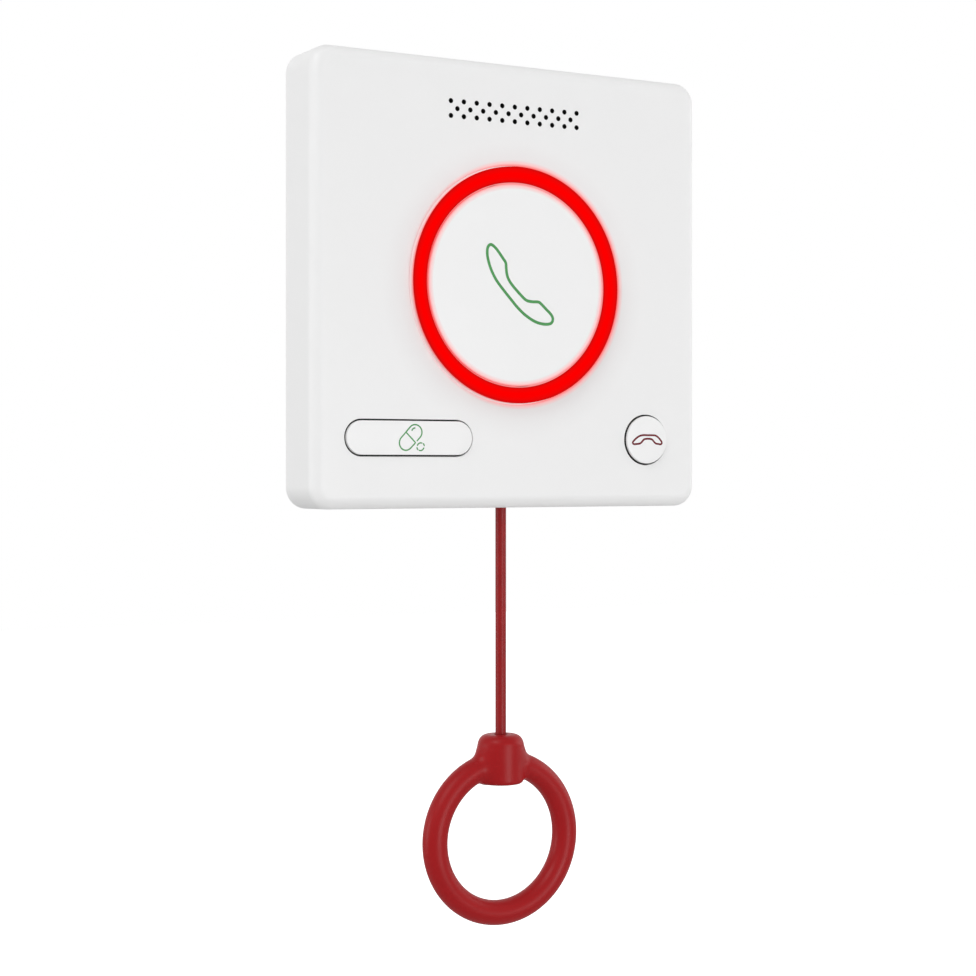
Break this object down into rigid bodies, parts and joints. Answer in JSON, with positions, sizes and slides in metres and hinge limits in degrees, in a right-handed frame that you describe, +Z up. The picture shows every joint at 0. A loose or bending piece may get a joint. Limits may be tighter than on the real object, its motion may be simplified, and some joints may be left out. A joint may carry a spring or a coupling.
{
  "type": "medical call button",
  "caption": "Square wall-mounted medical call unit with a lit ring round a large button, two small buttons, a speaker grille and a red pull cord with a ring.",
  "frame": {"origin": "middle of the wall screws on the wall plane, behind the middle of the front panel", "axes": "+Y into the wall, so the panel faces -Y; +X to the right seen from the front; +Z up"},
  "size_m": [0.125, 0.0199, 0.2438],
  "materials": {
    "cover_white": "fine satin moulded white",
    "button_white": "smooth satin white",
    "plate_grey": "moulded pale grey",
    "steel": "bright zinc plate",
    "mesh_black": "fine black acoustic cloth",
    "foam_black": "closed foam",
    "black_metal": "matt black",
    "cone_grey": "matt film",
    "connector_ivory": "moulded ivory",
    "wire_red": "soft sleeve",
    "microphone_metal": "bright can",
    "rubber_black": "matt",
    "ring_light_red": "clear red, lit from inside",
    "reflector_white": "bright white",
    "lamp_white": "clear window",
    "black_plastic": "moulded black",
    "board_green": "green lacquer",
    "shield_metal": "tin plate",
    "chip_black": "matt",
    "can_metal": "bright can",
    "terminal_green": "moulded green",
    "brass_screw": "plated",
    "guide_white": "slippery moulded white",
    "bush_white": "slippery moulded white",
    "red_plastic": "moulded red",
    "cord_red": "braided dark red cord",
    "ring_red": "smooth satin red"
  },
  "bodies": {
    "housing": {"front_cover": "cover_white", "base_plate": "plate_grey", "lock_screws": "steel", "speaker_mesh": "mesh_black", "speaker_gasket": "foam_black", "speaker_frame": "black_metal", "speaker_cone": "cone_grey", "speaker_magnet": "steel", "speaker_screws": "steel", "speaker_socket": "connector_ivory", "speaker_wires": "wire_red", "microphone": "microphone_metal", "microphone_boot": "rubber_black", "light_ring": "ring_light_red", "light_reflector": "reflector_white", "ring_lamps": "lamp_white", "call_springs": "steel", "call_switch_body": "black_plastic", "pill_springs": "steel", "pill_switch_body": "black_plastic", "hangup_switch_body": "black_plastic", "main_board": "board_green", "board_screws": "steel", "radio_module": "shield_metal", "processor_chips": "chip_black", "power_parts": "can_metal", "terminal_block": "terminal_green", "terminal_screws": "brass_screw", "pull_guide": "guide_white", "pull_spring": "steel", "pull_switch_body": "black_plastic", "cord_bush": "bush_white"},
    "call_button": {"call_button_cap": "button_white", "call_switch_plunger": "black_plastic"},
    "pill_button": {"pill_button_cap": "button_white", "pill_switch_plunger": "black_plastic"},
    "hangup_button": {"hangup_button_cap": "button_white", "hangup_switch_plunger": "black_plastic"},
    "pull_plunger": {"pull_plunger": "guide_white"},
    "pull_switch_button": {"pull_switch_button": "red_plastic"},
    "upper_knot": {"cord_knot": "cord_red"},
    "cord": {"pull_cord": "cord_red", "ring_knot": "cord_red"},
    "pull_ring": {"pull_ring": "ring_red"}
  },
  "joints": [
    {"name": "call_press", "type": "slide", "parent": "housing", "child": "call_button", "axis": [0, 1, 0], "range_m": [0, 0.001], "stiffness_N_per_m": 3000, "springref_m": -0.0005, "deforming": ["call_springs"]},
    {"name": "pill_press", "type": "slide", "parent": "housing", "child": "pill_button", "axis": [0, 1, 0], "range_m": [0, 0.0008], "stiffness_N_per_m": 2500, "springref_m": -0.0004, "deforming": ["pill_springs"]},
    {"name": "hangup_press", "type": "slide", "parent": "housing", "child": "hangup_button", "axis": [0, 1, 0], "range_m": [0, 0.0008], "stiffness_N_per_m": 2500, "springref_m": -0.0004},
    {"name": "cord_pull", "type": "slide", "parent": "housing", "child": "pull_plunger", "axis": [0, 0, -1], "range_m": [0, 0.004], "stiffness_N_per_m": 2000, "springref_m": -0.0015, "deforming": ["pull_spring"]},
    {"name": "pull_switch_press", "type": "slide", "parent": "housing", "child": "pull_switch_button", "axis": [1, 0, 0], "range_m": [0, 0.0008]},
    {"name": "cord_swing_side", "type": "hinge", "parent": "pull_plunger", "child": "upper_knot", "pos_m": [0, -0.01, -0.0585], "axis": [0, 1, 0], "range_deg": [-15, 15]},
    {"name": "cord_swing_out", "type": "hinge", "parent": "upper_knot", "child": "cord", "pos_m": [0, -0.01, -0.0585], "axis": [-1, 0, 0], "range_deg": [-2, 15]},
    {"name": "ring_swivel", "type": "hinge", "parent": "cord", "child": "pull_ring", "pos_m": [0, -0.01, -0.1329], "axis": [0, 0, 1], "continuous": true}
  ],
  "couplings": [
    {"joint": "pull_switch_press", "follows": "cord_pull", "ratio": 0.2}
  ]
}
